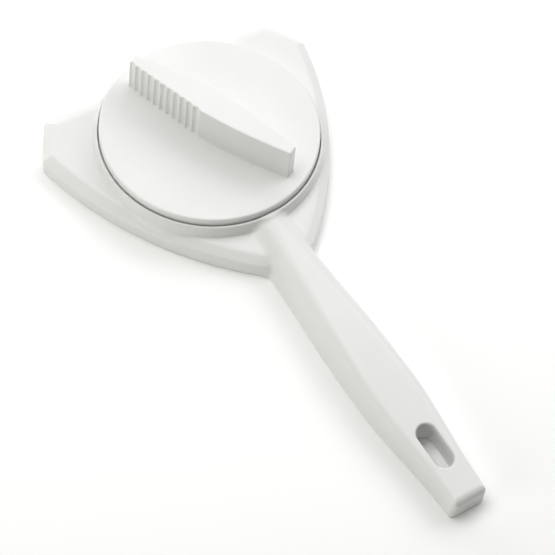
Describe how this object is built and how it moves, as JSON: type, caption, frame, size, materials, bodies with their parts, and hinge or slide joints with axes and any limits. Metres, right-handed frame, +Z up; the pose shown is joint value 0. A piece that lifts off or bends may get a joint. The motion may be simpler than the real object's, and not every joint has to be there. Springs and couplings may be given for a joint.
{
  "type": "manual can opener",
  "caption": "Flat lever can opener with a round dial that draws two guide rollers and a cutting wheel inwards on radial slides, in a three-lobed head with a long hollow handle.",
  "frame": {"origin": "on the table under the middle of the object's outline, as it lies flat on its open underside", "axes": "+Z up, -Y along the handle from the head to its end, +X to the right seen from the handle's end; the dial's axis is vertical at x 0, y 65.65 mm"},
  "size_m": [0.1206, 0.2252, 0.034],
  "materials": {
    "body_plastic": "satin white moulding with a fine even texture",
    "dial_plastic": "satin white moulding with a fine even texture",
    "acetal": "smooth waxy off-white",
    "plated_steel": "zinc plated sheet",
    "screw_steel": "zinc plated screws",
    "hardened_steel": "ground and hardened",
    "spring_steel": "dark tempered",
    "roller_steel": "turned and polished",
    "cutter_steel": "ground cutting edge"
  },
  "bodies": {
    "body": {"body_shell": "body_plastic", "chassis_plate": "plated_steel", "right_chassis_screw": "screw_steel", "left_chassis_screw": "screw_steel", "cutter_chassis_screw": "screw_steel", "deck_bush": "acetal"},
    "dial": {"dial": "dial_plastic", "scroll_plate": "acetal", "scroll_screw_1": "screw_steel", "scroll_screw_2": "screw_steel", "scroll_screw_3": "screw_steel", "pivot_screw": "screw_steel", "retaining_washer": "plated_steel", "wave_washer": "spring_steel"},
    "right_slide": {"right_slide": "plated_steel", "right_drive_pin": "hardened_steel", "right_axle": "hardened_steel", "right_axle_clip": "spring_steel"},
    "left_slide": {"left_slide": "plated_steel", "left_drive_pin": "hardened_steel", "left_axle": "hardened_steel", "left_axle_clip": "spring_steel"},
    "cutter_slide": {"cutter_slide": "plated_steel", "cutter_drive_pin": "hardened_steel", "cutter_axle": "hardened_steel", "cutter_axle_clip": "spring_steel"},
    "right_roller": {"right_guide_roller": "roller_steel"},
    "left_roller": {"left_guide_roller": "roller_steel"},
    "cutter": {"cutting_wheel": "cutter_steel"}
  },
  "joints": [
    {"name": "dial_turn", "type": "hinge", "parent": "body", "child": "dial", "pos_m": [0, 0.06565, 0.0155], "axis": [0, 0, 1], "range_deg": [-350, 0]},
    {"name": "right_slide_travel", "type": "slide", "parent": "body", "child": "right_slide", "axis": [0.866, 0.5, 0], "range_m": [-0.01751, 0]},
    {"name": "left_slide_travel", "type": "slide", "parent": "body", "child": "left_slide", "axis": [-0.866, 0.5, 0], "range_m": [-0.01751, 0]},
    {"name": "cutter_slide_travel", "type": "slide", "parent": "body", "child": "cutter_slide", "axis": [0, -1, 0], "range_m": [-0.01751, 0]},
    {"name": "right_roller_spin", "type": "hinge", "parent": "right_slide", "child": "right_roller", "pos_m": [0.04244, 0.09015, 0.0028], "axis": [0, 0, 1], "continuous": true},
    {"name": "left_roller_spin", "type": "hinge", "parent": "left_slide", "child": "left_roller", "pos_m": [-0.04244, 0.09015, 0.0028], "axis": [0, 0, 1], "continuous": true},
    {"name": "cutter_spin", "type": "hinge", "parent": "cutter_slide", "child": "cutter", "pos_m": [0, 0.01665, 0.0028], "axis": [0, 0, 1], "continuous": true}
  ],
  "couplings": [
    {"joint": "right_slide_travel", "follows": "dial_turn", "m_per_rad": 0.0028648},
    {"joint": "left_slide_travel", "follows": "dial_turn", "m_per_rad": 0.0028648},
    {"joint": "cutter_slide_travel", "follows": "dial_turn", "m_per_rad": 0.0028648}
  ]
}
